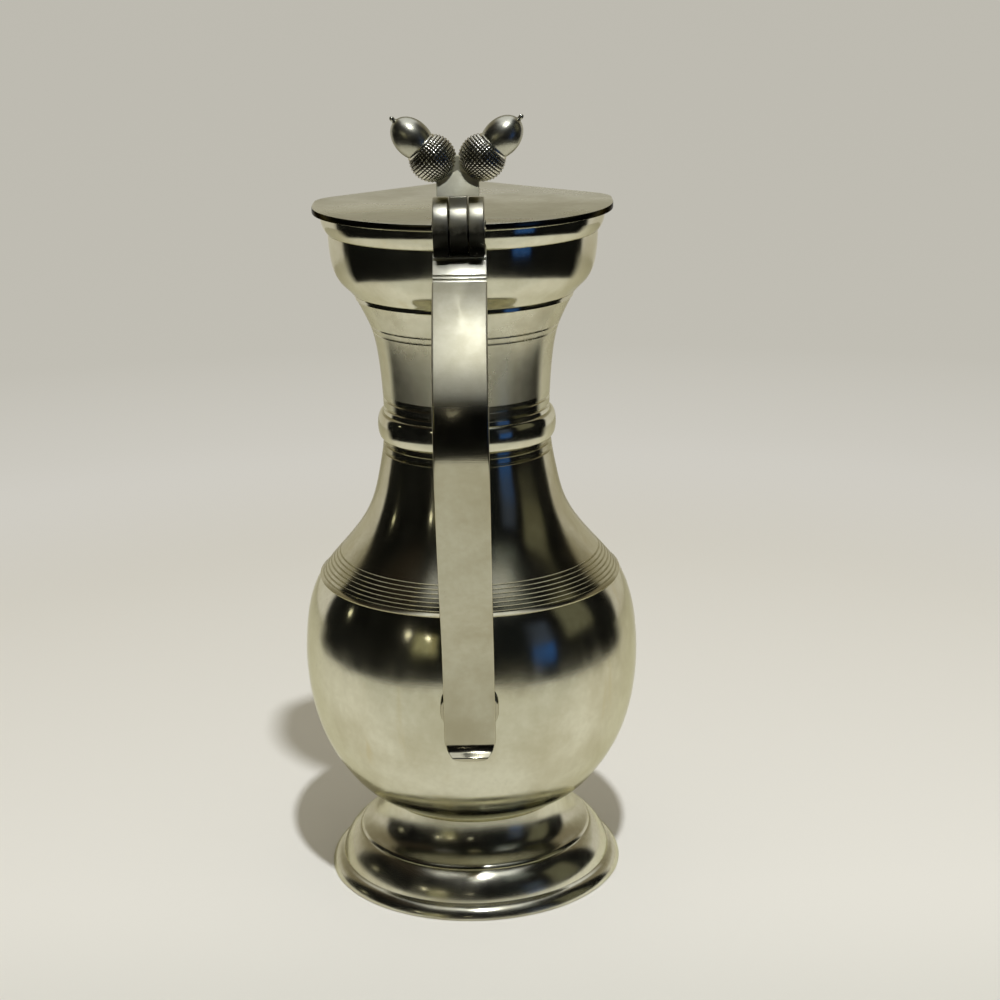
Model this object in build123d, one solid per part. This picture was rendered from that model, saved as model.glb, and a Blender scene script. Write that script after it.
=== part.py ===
from build123d import *
from math import cos, radians, sin, sqrt, tan
import os

# A pear-shaped pewter flagon with a hinged, heart-shaped lid and a twin-acorn thumbpiece.
# Millimetres. +Z is up, and the origin is on the foot's axis at the surface it stands on.
# The handle and the hinge lie towards -Y, and the point of the lid towards +Y.
# A turned outline is drawn as (radius, height) and spun about Z.

# Foot: a hollow casting on a flat ring
foot_radius = 49.1
foot_height = 25.8
foot_wall = 2.6
foot_edge_height = 1.0
flange_radius = 45.7
flange_height = 4.1
torus_radius = 39.3
torus_height = 13.2
torus_crown = 0.7
foot_step = 0.8
foot_top_radius = 30.1
# Flare of the foot, as shares of the way from its step in to the top and up to it
foot_flare_shape = [(0.50, 0.28), (0.82, 0.62)]
foot_neck_share = 0.35

# Body: bowl and shoulder, joined in the lowest line of the reeded band
body_wall = 2.2
belly_radius = 55.0
belly_rise = 49.8
shoulder_rise = 74.0
spindle_hole_radius = 14.0
bottom_disc_radius = 18.0
bottom_disc_thickness = 1.8
# Bowl outline, as shares of its width and rise, from the foot's top to the belly
bowl_shape = [(0.253, 0.088), (0.574, 0.263), (0.811, 0.480), (0.952, 0.739)]
# Shoulder outline, as shares from the belly in to the collar and up to it
shoulder_shape = [(0.022, 0.146), (0.104, 0.292), (0.215, 0.380), (0.400, 0.468),
                  (0.656, 0.584), (0.833, 0.700), (0.939, 0.846)]
reed_count = 8
reed_low_share = 0.376
reed_pitch = 1.06
reed_width = 0.95
reed_depth = 0.42

# Collar where the shoulder and the neck meet
collar_seat_radius = 27.1
collar_radius = 28.8
collar_height = 8.6
collar_shoulder_rise = 1.0
collar_line_gap = 1.5
collar_line_pitch = 2.5
fine_line_width = 0.9
fine_line_depth = 0.4

# Neck
neck_radius = 26.8
neck_rise = 36.8
neck_top_radius = 34.4
neck_shape = [(0.06, 0.28), (0.18, 0.515), (0.43, 0.75), (0.67, 0.867)]
neck_line_drop = 8.4
neck_line_pitch = 1.95
neck_bore_ease = 0.1

# Mouth cup, its lip, and the wall they share
cup_wall = 2.2
step_radius = 34.7
step_height = 1.2
step_ease = 0.5
cup_rise = 21.0
cup_radius = 42.7
cup_shape = [(0.22, 0.09), (0.52, 0.205), (0.80, 0.40), (0.93, 0.63)]
lip_radius = 44.8
lip_rise = 6.2
lip_edge_height = 1.9
# Middle of the lip's flare, as shares of its width and rise
lip_flare_middle = (0.62, 0.40)
mouth_bend_drop = 1.0

# Lid
lid_overhang = 2.7
lid_forward = 2.2
lid_thickness = 1.95
lid_side_length = 7.6
lid_corner_radius = 14.5
lid_point_angle = 48.6
lid_point_radius = 4.0
lid_edge_bevel = 0.4
locating_ring_clearance = 0.76
locating_ring_width = 2.0
locating_ring_height = 3.0
locating_ring_chamfer = 0.6

# Hinge
hinge_standoff = 11.4
hinge_rise = 1.55
barrel_radius = 8.0
knuckle_width = 5.2
ear_width = 4.5
hinge_side_gap = 0.3
pin_radius = 1.6
pin_running_clearance = 0.05
pin_end_dome = 0.4
barrel_under_gap = 0.4
ear_root_depth = 11.0
tongue_thickness = 1.6
tongue_width = 12.0
tongue_length = 21.0
tongue_corner_radius = 5.4
barrel_swing_gap = 1.0

# Hinge block at the head of the handle, and the strap
block_width = 15.4
block_top_reach = 1.6
block_nose_reach = 8.6
block_nose_drop = 6.6
block_foot_drop = 14.5
block_under_arch = 1.4
# Lines across the block: share of the way down its face, and width
block_lines = [(0.20, 1.3), (0.72, 0.78), (0.90, 0.78)]
block_line_depth = 0.5
cut_overlap = 0.05
strap_width = 15.8
strap_thickness = 3.2
strap_reach = 37.0
strap_widest_drop = 42.4
strap_upper_shape = [(0.238, 0.101), (0.593, 0.325), (0.790, 0.498), (0.935, 0.720)]
strap_lower_shape = [(0.095, 0.178), (0.281, 0.368), (0.520, 0.571), (0.800, 0.745), (0.953, 0.881)]
strap_stand_off = 2.3
strap_foot_rise = 5.3
strap_foot_drop = 14.6
strap_foot_lean = 2.05
strap_curl_radius = 3.3
strap_curl_turn = 58.0
strap_tip_length = 2.0
strap_tip_thickness = 1.5
strap_end_corner = 5.8
pad_width = 18.0
pad_height = 13.0
pad_rise = 2.5
pad_root_depth = 3.0
pad_corner_radius = 4.0
pad_strap_share = 0.6

# Thumbpiece
plate_gap = 0.9
plate_width = 12.2
plate_depth = 10.6
plate_top_depth = 6.8
plate_height = 3.6
stem_height = 7.4
stem_top_width = 2.0
stem_top_depth = 2.6
neck_depth = 7.0
acorn_lean = 45.0
acorn_height = 19.2
acorn_cup_radius = 6.9
acorn_gap = 0.4
acorn_rim_height = 4.8
nut_radius = 5.25
nut_half_length = 7.1
nut_centre = 7.85
pip_radius = 0.6
pip_length = 1.5
pip_root = 0.3

# Heights and places that follow from the sizes above
belly_height = foot_height + belly_rise
collar_base = belly_height + shoulder_rise
collar_middle = collar_base + collar_height / 2
collar_top = collar_base + collar_height
cup_base = collar_top + neck_rise
cup_crease = cup_base + cup_rise
lip_top = cup_crease + lip_rise
lid_top = lip_top + lid_thickness
reed_low = belly_height + shoulder_rise * reed_low_share
hinge_y = -(lip_radius + hinge_standoff)
hinge_z = lid_top + hinge_rise
block_top = hinge_z - barrel_radius - barrel_under_gap
ear_inner = knuckle_width / 2 + hinge_side_gap
ear_outer = ear_inner + ear_width
plate_base = hinge_z + barrel_radius + plate_gap
strap_lower_radius = belly_radius + strap_stand_off + strap_thickness
strap_lower_height = belly_height + strap_foot_rise
far = 400.0


def points_between(start, end, shares):
    """Points at the given shares of the way from start to end, across and up."""
    across = end[0] - start[0]
    up = end[1] - start[1]
    return [(start[0] + across * a, start[1] + up * b) for a, b in shares]


def shifted(curve, distance, count):
    """Points along the curve, moved by the distance to its left side."""
    moved = []
    for i in range(count + 1):
        point = curve @ (i / count)
        heading = curve % (i / count)
        moved.append((point.X - heading.Y * distance, point.Y + heading.X * distance))
    return moved


def closed_face(edges, corners):
    """A face bounded by the edges in order, and then by straight lines through the corners."""
    start = edges[0] @ 0
    end = edges[-1] @ 1
    path = [(end.X, end.Y)] + corners + [(start.X, start.Y)]
    lines = [Line(a, b) for a, b in zip(path, path[1:])]
    return make_face(list(edges) + lines)


def turned(face):
    return revolve(Plane.XZ * face, Axis.Z)


def slab(low, high):
    return Pos(0, 0, (low + high) / 2) * Box(far, far, high - low)


def line_ring(radius, height, width, depth, lean=0.0):
    """A ring with a V section, its point sunk by depth into a wall of that radius."""
    corners = [(-depth, 0), (depth, width), (depth, -width)]
    turn = radians(lean)
    placed = []
    for x, y in corners:
        placed.append((radius + x * cos(turn) - y * sin(turn), height + x * sin(turn) + y * cos(turn)))
    return turned(make_face(Polyline(*placed, close=True)))


def at_height(curve, height):
    """Radius and lean of a rising outline where it passes a height."""
    low, high = 0.0, 1.0
    for _ in range(40):
        middle = (low + high) / 2
        if (curve @ middle).Y < height:
            low = middle
        else:
            high = middle
    heading = curve % low
    return (curve @ low).X, heading


def foot():
    diagonal = sqrt(0.5)
    corner = ThreePointArc(
        (foot_radius, foot_edge_height),
        (flange_radius + (foot_radius - flange_radius) * diagonal,
         foot_edge_height + (flange_height - foot_edge_height) * diagonal),
        (flange_radius, flange_height))
    middle = ((flange_radius + torus_radius) / 2, (flange_height + torus_height) / 2)
    run = (flange_radius - torus_radius, torus_height - flange_height)
    length = sqrt(run[0] ** 2 + run[1] ** 2)
    torus = ThreePointArc(
        (flange_radius, flange_height),
        (middle[0] + torus_crown * run[1] / length, middle[1] + torus_crown * run[0] / length),
        (torus_radius, torus_height))
    flare_start = (torus_radius - foot_step, torus_height + foot_step)
    flare_top = (foot_top_radius, foot_height)
    flare_points = points_between(flare_start, flare_top, foot_flare_shape)
    flare = Spline([flare_start] + flare_points + [flare_top])
    outer = [Line((foot_radius, 0), (foot_radius, foot_edge_height)), corner, torus,
             Line((torus_radius, torus_height), flare_start), flare]
    neck_height = foot_height - (foot_height - flare_start[1]) * foot_neck_share
    inner = [(foot_top_radius - foot_wall, foot_height),
             (foot_top_radius - foot_wall, neck_height),
             (flare_points[0][0] - foot_wall, flare_start[1]),
             (torus_radius - foot_wall, torus_height - foot_wall),
             (flange_radius - foot_wall, flange_height),
             (flange_radius - foot_wall, 0)]
    return turned(closed_face(outer, inner))


def body_outline():
    """The outside of bowl and shoulder, from the foot's top up to the collar's seat."""
    bottom = (foot_top_radius, foot_height)
    belly = (belly_radius, belly_height)
    seat = (collar_seat_radius, collar_base)
    bowl_edge = Spline([bottom] + points_between(bottom, belly, bowl_shape) + [belly],
                       tangents=[(0.86, 0.5), (0, 1)])
    shoulder_edge = Spline([belly] + points_between(belly, seat, shoulder_shape) + [seat],
                           tangents=[(0, 1), (-0.06, 1)])
    return bowl_edge, shoulder_edge


def body_shell():
    bowl_edge, shoulder_edge = body_outline()
    seat_line = Line((collar_seat_radius, collar_base), (collar_seat_radius, collar_middle))
    bore = collar_seat_radius - body_wall
    inner_points = [(bore, collar_middle), (bore, collar_base)]
    inner_points += reversed(shifted(shoulder_edge, body_wall, 12)[1:-1])
    inner_points += reversed(shifted(bowl_edge, body_wall, 10))
    inner_curve = Spline(inner_points[1:])
    floor_point = inner_points[-1]
    lines = [Line((collar_seat_radius, collar_middle), (bore, collar_middle)),
             Line((bore, collar_middle), (bore, collar_base))]
    closing = [(spindle_hole_radius, floor_point[1]), (spindle_hole_radius, foot_height)]
    shell = turned(closed_face([bowl_edge, shoulder_edge, seat_line] + lines + [inner_curve], closing))
    return shell, floor_point[1]


def reeds(shell):
    _, shoulder_edge = body_outline()
    for i in range(reed_count):
        height = reed_low + i * reed_pitch
        radius, heading = at_height(shoulder_edge, height)
        lean = 0 if i == 0 else Vector(heading.Y, -heading.X).get_signed_angle(Vector(1, 0))
        shell -= line_ring(radius, height, reed_width, reed_depth, -lean)
    for i in range(2):
        height = collar_base - collar_line_gap - i * collar_line_pitch
        radius, _ = at_height(shoulder_edge, height)
        shell -= line_ring(radius, height, fine_line_width, fine_line_depth)
    return shell


def bottom_disc(floor):
    return Pos(0, 0, floor) * extrude(Circle(bottom_disc_radius), amount=bottom_disc_thickness)


def neck_ring():
    arch = ThreePointArc((collar_seat_radius, collar_base), (collar_radius, collar_middle),
                         (collar_seat_radius, collar_top))
    return turned(closed_face([arch], []))


def neck_outline():
    start = (neck_radius, collar_top + collar_shoulder_rise)
    end = (neck_top_radius, cup_base)
    return Spline([start] + points_between(start, end, neck_shape) + [end],
                  tangents=[(0, 1), (0.62, 1)])


def neck():
    outline = neck_outline()
    seat = [Line((collar_seat_radius, collar_middle), (collar_seat_radius, collar_top)),
            Line((collar_seat_radius, collar_top), (neck_radius, collar_top + collar_shoulder_rise))]
    inside = shifted(outline, body_wall, 10)
    bore = collar_seat_radius - body_wall
    top = (inside[-1][0] + neck_bore_ease, cup_base)
    inner = Spline([top] + list(reversed(inside[:-1])))
    closing = [(bore, collar_top), (bore, collar_middle)]
    face = closed_face(seat + [outline, Line((neck_top_radius, cup_base), top), inner], closing)
    piece = turned(face)
    for i in range(2):
        height = collar_top + collar_line_gap + i * collar_line_pitch
        radius, _ = at_height(outline, height)
        piece -= line_ring(radius, height, fine_line_width, fine_line_depth)
    for i in range(2):
        height = cup_base - neck_line_drop - i * neck_line_pitch
        radius, _ = at_height(outline, height)
        piece -= line_ring(radius, height, fine_line_width, fine_line_depth)
    return piece, top[0]


def cup_outline():
    """The outside of the mouth cup, from the neck up to the lip's top, and its wall curve alone."""
    start = (step_radius + step_ease, cup_base + step_height + step_ease)
    crease = (cup_radius, cup_crease)
    flare_top = (lip_radius, lip_top - lip_edge_height)
    wall = Spline([start] + points_between(start, crease, cup_shape) + [crease],
                  tangents=[(0.7, 0.7), (0.03, 1)])
    flare = ThreePointArc(
        crease,
        points_between(crease, flare_top, [lip_flare_middle])[0],
        flare_top)
    outer = [Line((step_radius, cup_base), (step_radius, cup_base + step_height)),
             Line((step_radius, cup_base + step_height), start), wall, flare,
             Line(flare_top, (lip_radius, lip_top))]
    return outer, wall


def mouth_bore():
    """The two ends of the straight slope inside the lip, from its edge down to the cup's wall."""
    edge = (lip_radius - cup_wall, lip_top - lip_edge_height)
    bend = (cup_radius - cup_wall, cup_crease - mouth_bend_drop)
    return edge, bend


def mouth_cup(neck_bore):
    outer, wall = cup_outline()
    inside = shifted(wall, cup_wall, 8)
    edge, bend = mouth_bore()
    inner = Spline([bend] + list(reversed(inside[1:-1])) + [(neck_bore, cup_base)])
    lines = [Line((lip_radius, lip_top), (edge[0], lip_top)),
             Line((edge[0], lip_top), edge),
             Line(edge, bend)]
    return turned(closed_face(outer + lines + [inner], []))


def lid_outline():
    radius = lip_radius + lid_overhang
    turn = radians(lid_point_angle)
    corner_x = radius - lid_corner_radius
    end_x = corner_x + lid_corner_radius * cos(turn)
    side_y = lid_forward + lid_side_length
    end_y = side_y + lid_corner_radius * sin(turn)
    tip_y = end_y + end_x / tan(turn)
    middle = radians(lid_point_angle / 2)
    middle_x = corner_x + lid_corner_radius * cos(middle)
    middle_y = side_y + lid_corner_radius * sin(middle)
    edges = [ThreePointArc((-radius, lid_forward), (0, lid_forward - radius), (radius, lid_forward)),
             Line((radius, lid_forward), (radius, side_y)),
             ThreePointArc((radius, side_y), (middle_x, middle_y), (end_x, end_y)),
             Line((end_x, end_y), (0, tip_y)),
             Line((0, tip_y), (-end_x, end_y)),
             ThreePointArc((-end_x, end_y), (-middle_x, middle_y), (-radius, side_y)),
             Line((-radius, side_y), (-radius, lid_forward))]
    face = make_face(edges)
    tip = face.vertices().sort_by(Axis.Y)[-1]
    return fillet(tip, lid_point_radius)


def lid_plate():
    plate = Pos(0, 0, lip_top) * extrude(lid_outline(), amount=lid_thickness)
    edges = plate.edges().group_by(Axis.Z)[-1]
    return chamfer(edges, lid_edge_bevel)


def lid_locating_ring():
    """A ring that clears the mouth at its own lowest point, where the mouth is narrowest."""
    low = lip_top - locating_ring_height
    edge, bend = mouth_bore()
    bore = bend[0] + (edge[0] - bend[0]) * (low - bend[1]) / (edge[1] - bend[1])
    outer = min(bore, edge[0]) - locating_ring_clearance
    inner = outer - locating_ring_width
    face = make_face(Polyline((outer, low + locating_ring_chamfer), (outer, lip_top), (inner, lip_top),
                              (inner, low), (outer - locating_ring_chamfer, low), close=True))
    return turned(face)


def disc_across(radius, low_x, high_x):
    """A round slice of the hinge barrel between two places along X."""
    width = high_x - low_x
    return Pos((low_x + high_x) / 2, hinge_y, hinge_z) * Rot(0, 90, 0) * Cylinder(radius, width)


def hinge_ear(side):
    low, high = sorted((side * ear_inner, side * ear_outer))
    height = hinge_z - block_top
    root = Box(ear_width, ear_root_depth, height, align=(Align.CENTER, Align.CENTER, Align.MIN))
    barrel = disc_across(barrel_radius, low, high)
    ear = barrel + Pos((low + high) / 2, hinge_y, block_top) * root
    return ear - disc_across(pin_radius, -far, far)


def hinge_pin():
    pin = disc_across(pin_radius, -ear_outer - pin_end_dome, ear_outer + pin_end_dome)
    return chamfer(pin.edges().filter_by(GeomType.CIRCLE), pin_end_dome * 0.8)


def hinge_knuckle():
    half = knuckle_width / 2
    piece = disc_across(barrel_radius, -half, half)
    rise = plate_base - hinge_z
    piece += Pos(0, hinge_y, hinge_z) * Box(knuckle_width, neck_depth, rise,
                                            align=(Align.CENTER, Align.CENTER, Align.MIN))
    clear_y = hinge_y + barrel_radius + barrel_swing_gap
    bridge_length = clear_y - hinge_y
    piece += Pos(0, hinge_y, lid_top) * Box(knuckle_width, bridge_length, tongue_thickness,
                                            align=(Align.CENTER, Align.MIN, Align.MIN))
    tongue = Pos(0, clear_y, lid_top) * Box(tongue_width, tongue_length, tongue_thickness,
                                            align=(Align.CENTER, Align.MIN, Align.MIN))
    corners = tongue.edges().filter_by(Axis.Z).group_by(Axis.Y)[-1]
    piece += fillet(corners, tongue_corner_radius)
    return piece - disc_across(pin_radius + pin_running_clearance, -far, far)


def acorn_place(side):
    x = side * (acorn_cup_radius + acorn_gap / 2)
    return Pos(x, hinge_y, hinge_z + acorn_height) * Rot(0, side * acorn_lean, 0)


def nut_body():
    half = Ellipse(nut_radius, nut_half_length) & (Pos(nut_radius, 0) * Rectangle(nut_radius * 2, far))
    return Pos(0, 0, nut_centre) * turned(half)


def acorn_cup(side):
    depth = acorn_rim_height + acorn_cup_radius
    keep = Pos(0, 0, acorn_rim_height - depth / 2) * Box(far, far, depth)
    return acorn_place(side) * ((Sphere(acorn_cup_radius) & keep) - nut_body())


def acorn_nut(side):
    tip = nut_centre + nut_half_length
    stalk = Pos(0, 0, tip - pip_root) * Cylinder(pip_radius, pip_length + pip_root,
                                                 align=(Align.CENTER, Align.CENTER, Align.MIN))
    bead = Pos(0, 0, tip + pip_length) * Sphere(pip_radius)
    return acorn_place(side) * (nut_body() + stalk + bead)


def thumbpiece_stem():
    """A plate whose faces lean in, and a stem that narrows up between the acorns."""
    shoulder = plate_base + plate_height
    base_face = Pos(0, hinge_y, plate_base) * Rectangle(plate_width, plate_depth)
    shoulder_face = Pos(0, hinge_y, shoulder) * Rectangle(plate_width, plate_top_depth)
    top_face = Pos(0, hinge_y, shoulder + stem_height) * Rectangle(stem_top_width, stem_top_depth)
    stem = loft([base_face, shoulder_face]) + loft([shoulder_face, top_face])
    for side in (-1, 1):
        stem -= acorn_place(side) * Sphere(acorn_cup_radius)
    return stem


def strap_outline():
    """Outer side of the strap as (Y, Z), from the hinge block down to where its end curls out."""
    head = (hinge_y - block_nose_reach, block_top - block_nose_drop)
    widest = (-(belly_radius + strap_reach), head[1] - strap_widest_drop)
    lower = (-strap_lower_radius, strap_lower_height)
    end = (lower[0] + strap_foot_lean, lower[1] - strap_foot_drop)
    points = [head] + points_between(head, widest, strap_upper_shape) + [widest]
    points += points_between(widest, lower, strap_lower_shape) + [lower, end]
    return Spline(points)


def strap_face():
    """Side view of the strap, with its end curled out to a thinner tip."""
    outline = strap_outline()
    curl = JernArc(outline @ 1, outline % 1, strap_curl_radius, -strap_curl_turn)
    heading = curl % 1
    tip_line = Line(curl @ 1, curl @ 1 + heading * strap_tip_length)
    tip = tip_line @ 1
    tip_back = (tip.X - heading.Y * strap_tip_thickness, tip.Y + heading.X * strap_tip_thickness)
    inner_points = shifted(outline, strap_thickness, 40)
    under = Spline([inner_points[-1], tip_back], tangents=[outline % 1, heading])
    inner = Spline(inner_points)
    edges = [outline, curl, tip_line, Line((tip.X, tip.Y), tip_back), under, inner,
             Line(inner @ 0, outline @ 0)]
    return make_face(edges), min(tip.Y, tip_back[1])


def handle_strap(bowl_block):
    face, low = strap_face()
    strap = extrude(Plane.YZ * face, amount=strap_width / 2, both=True)
    high = hinge_z + far
    front = Pos(0, (low + high) / 2) * RectangleRounded(
        strap_width + 2 * cut_overlap, high - low + 2 * cut_overlap, strap_end_corner)
    keep = extrude(Plane.XZ * front, amount=far, both=True)
    return (strap & keep) - bowl_block


def handle_pad(strap, bowl_block):
    deep = strap_stand_off + strap_thickness + pad_root_depth
    middle = strap_lower_height + pad_rise - pad_height / 2
    pad = Pos(0, -belly_radius + pad_root_depth, middle) * Box(
        pad_width, deep, pad_height, align=(Align.CENTER, Align.MAX, Align.CENTER))
    pad = fillet(pad.edges().filter_by(Axis.Y), pad_corner_radius)
    keep = Pos(0, -strap_lower_radius + strap_thickness * pad_strap_share, middle) * Box(
        far, far, far, align=(Align.CENTER, Align.MIN, Align.CENTER))
    return (pad & keep) - bowl_block - strap


def hinge_block(cup_block, strap):
    outline = strap_outline()
    head = outline @ 0
    heading = outline % 0
    inner_head = (head.X - heading.Y * strap_thickness, head.Y + heading.X * strap_thickness)
    top_front = (hinge_y - block_top_reach, block_top)
    wall_y = -cup_radius + cup_wall
    wall_foot = (wall_y, block_top - block_foot_drop)
    under = ThreePointArc(inner_head,
                          ((inner_head[0] + wall_foot[0]) / 2,
                           (inner_head[1] + wall_foot[1]) / 2 + block_under_arch),
                          wall_foot)
    edges = [Line((wall_y, block_top), top_front), Line(top_front, (head.X, head.Y)),
             Line((head.X, head.Y), inner_head), under, Line(wall_foot, (wall_y, block_top))]
    block = extrude(Plane.YZ * make_face(edges), amount=block_width / 2, both=True)
    slope = Vector(head.X - top_front[0], head.Y - top_front[1])
    length = slope.length
    along = slope.normalized()
    normal = Vector(along.Y, -along.X)
    if normal.Y < 0:
        normal = normal * -1
    for share, width in block_lines:
        centre = Vector(*top_front) + along * (length * share)
        tip = centre - normal * block_line_depth
        left = centre - along * (width / 2) + normal * cut_overlap
        right = centre + along * (width / 2) + normal * cut_overlap
        groove = make_face(Polyline((tip.X, tip.Y), (left.X, left.Y), (right.X, right.Y), close=True))
        block -= extrude(Plane.YZ * groove, amount=block_width, both=True)
    return block - cup_block - strap


def build():
    shell, floor = body_shell()
    shell = reeds(shell)
    neck_piece, neck_bore = neck()
    cup = mouth_cup(neck_bore)
    bowl_edge, shoulder_edge = body_outline()
    core = turned(closed_face([bowl_edge, shoulder_edge], [(0, collar_base), (0, foot_height)]))
    cup_edges, _ = cup_outline()
    cup_core = turned(closed_face(cup_edges, [(0, lip_top), (0, cup_base)]))
    strap = handle_strap(core)
    nodes = {
        "foot": foot(),
        "bowl": shell & slab(0, reed_low),
        "shoulder": shell & slab(reed_low, far / 2),
        "bottom_disc": bottom_disc(floor),
        "neck_ring": neck_ring(),
        "neck": neck_piece,
        "mouth_cup": cup,
        "handle_strap": strap,
        "handle_pad": handle_pad(strap, core),
        "hinge_block": hinge_block(cup_core, strap),
        "hinge_ear_left": hinge_ear(-1),
        "hinge_ear_right": hinge_ear(1),
        "hinge_pin": hinge_pin(),
        "hinge_knuckle": hinge_knuckle(),
        "lid_plate": lid_plate(),
        "lid_locating_ring": lid_locating_ring(),
        "thumbpiece_stem": thumbpiece_stem(),
        "acorn_cup_left": acorn_cup(-1),
        "acorn_cup_right": acorn_cup(1),
        "acorn_nut_left": acorn_nut(-1),
        "acorn_nut_right": acorn_nut(1),
    }
    os.makedirs("parts", exist_ok=True)
    for name, solid in nodes.items():
        export_step(solid, "parts/" + name + ".step")
        print(name, len(solid.solids()), round(solid.volume, 1))


build()
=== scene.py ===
from math import acos, asin, cos, degrees, pi, radians, sin, sqrt, tan

import bmesh
import bpy
from mathutils import Matrix, Vector, noise


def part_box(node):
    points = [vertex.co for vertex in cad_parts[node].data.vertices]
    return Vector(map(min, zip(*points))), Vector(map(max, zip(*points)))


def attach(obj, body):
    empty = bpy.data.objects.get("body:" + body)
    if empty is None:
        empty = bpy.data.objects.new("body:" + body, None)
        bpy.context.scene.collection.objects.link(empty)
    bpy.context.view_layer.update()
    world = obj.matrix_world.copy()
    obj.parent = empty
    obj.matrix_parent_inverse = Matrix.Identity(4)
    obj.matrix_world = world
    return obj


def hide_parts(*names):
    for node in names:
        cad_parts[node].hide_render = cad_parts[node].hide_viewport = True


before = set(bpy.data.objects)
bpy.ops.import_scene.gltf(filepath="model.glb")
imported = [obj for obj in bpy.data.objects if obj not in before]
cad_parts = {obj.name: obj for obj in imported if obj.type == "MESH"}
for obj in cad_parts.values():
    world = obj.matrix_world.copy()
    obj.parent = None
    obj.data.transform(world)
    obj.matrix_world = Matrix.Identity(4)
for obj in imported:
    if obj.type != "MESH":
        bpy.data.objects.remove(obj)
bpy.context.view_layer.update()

MM = 0.001
ROUND_STEPS = 160


def node_size(name):
    """The corners of a node's box in millimetres."""
    low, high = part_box(name)
    return [v / MM for v in low], [v / MM for v in high]


# Sizes read from the frame's own pieces
_, foot_high = node_size("foot")
_, bowl_high = node_size("bowl")
ring_low, ring_high = node_size("neck_ring")
_, neck_high = node_size("neck")
cup_low, cup_high = node_size("mouth_cup")
_, lid_high = node_size("lid_plate")
locating_low, locating_high = node_size("lid_locating_ring")
ear_low, ear_high = node_size("hinge_ear_left")
_, knuckle_high = node_size("hinge_knuckle")
strap_low, strap_high = node_size("handle_strap")
pad_low, pad_high = node_size("handle_pad")
block_low, block_high = node_size("hinge_block")
stem_low, _ = node_size("thumbpiece_stem")

foot_radius, foot_top = foot_high[0], foot_high[2]
belly_radius = bowl_high[0]
seam_height = bowl_high[2]
collar_base, collar_top = ring_low[2], ring_high[2]
collar_middle = (collar_base + collar_top) / 2
collar_radius = ring_high[0]
neck_top_radius = neck_high[0]
cup_base, lip_top = cup_low[2], cup_high[2]
lip_radius = cup_high[0]
lid_radius = lid_high[0]
lid_top = lid_high[2]
hinge_y = (ear_low[1] + ear_high[1]) / 2
barrel_radius = (ear_high[1] - ear_low[1]) / 2
hinge_z = ear_high[2] - barrel_radius
block_top = block_high[2]
strap_half = strap_high[0]

# Foot, with its flare as shares of the way in and up from the step to the top
FOOT_TOP_RADIUS = 30.1
FOOT_WALL = 2.6
FLANGE_INSET, FLANGE_HEIGHT = 3.4, 4.1
FLANGE_EDGE, FLANGE_CROWN = 0.3, 0.75
TORUS_INSET, TORUS_HEIGHT, TORUS_CROWN = 9.8, 13.2, 1.1
CREASE_IN, CREASE_UP = 0.5, 0.25
LEDGE_IN, LEDGE_UP = 0.35, 0.05
FOOT_STEP = 0.8
FLARE_IN, FLARE_UP = 0.3, 0.2
FOOT_FLARE = [(0.50, 0.21), (0.84, 0.56)]

# Body, as shares from the foot's top to the belly and from there to the collar
WALL = 2.2
BELLY_RISE = 49.8
FILLET_OUT, FILLET_UP = 0.2, 0.5
JOINT_OUT, JOINT_UP = 1.0, 1.1
SEAT_RADIUS = 27.1
SPINDLE_HOLE = 14.0
BOWL_SHAPE = [(0.253, 0.088), (0.574, 0.263), (0.811, 0.480), (0.952, 0.739)]
SHOULDER_SHAPE = [(0.022, 0.146), (0.104, 0.292), (0.215, 0.380), (0.400, 0.468),
                  (0.656, 0.584), (0.833, 0.700), (0.939, 0.846)]
REED_COUNT, REED_PITCH = 7, 1.13
REED_FIRST = 1.45
REED_WIDTH, REED_DEPTH = 0.55, 0.24
SEAM_CLEAR, SEAM_SEARCH = 0.6, 0.9
SEAM_DEPTH, SEAM_HALF, SEAM_SHOULDER = 0.28, 0.45, 0.1
FINE_WIDTH, FINE_DEPTH = 1.0, 0.5
SHOULDER_LINES = (4.0, 1.5)
# A turned line's section: shares of its width across, and of its depth
LINE_SHAPE = ((-0.5, 0.0), (-0.08, 0.92), (0.08, 0.92), (0.5, 0.0))

# Neck and mouth
NECK_RADIUS = 26.8
NECK_START = 0.9
LINED_HEIGHT = 6.5
NECK_LINES = (1.7, 4.5)
THROAT_LINES = (10.3, 8.3)
THROAT_LINE_WIDTH, THROAT_LINE_DEPTH = 0.7, 0.28
COLLAR_STEPS, COLLAR_FULLNESS, COLLAR_TUCK = 20, 0.8, 0.3
NECK_SHAPE = [(0.06, 0.28), (0.18, 0.515), (0.43, 0.75), (0.67, 0.867)]
STEP_RADIUS, STEP_HEIGHT, STEP_EASE = 34.7, 1.2, 0.5
STEP_LINE = [(0.35, 0.1), (0.3, 0.4)]
CUP_CHAMFER = 0.25
CUP_INSET = 2.1
LIP_RISE, LIP_EDGE = 6.2, 1.9
CUP_SHAPE = [(0.22, 0.09), (0.52, 0.205), (0.80, 0.40), (0.93, 0.63)]
LIP_BOW = 0.36

# Lid
LID_FORWARD, LID_SIDE = 2.2, 7.6
LID_CORNER, LID_POINT = 14.5, 4.0
LID_POINT_ANGLE = 48.6
CORNER_STEPS, POINT_STEPS = 12, 6
LID_ROUND = 0.28
LOCATING_WALL, LOCATING_CHAMFER = 2, 0.6

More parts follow.
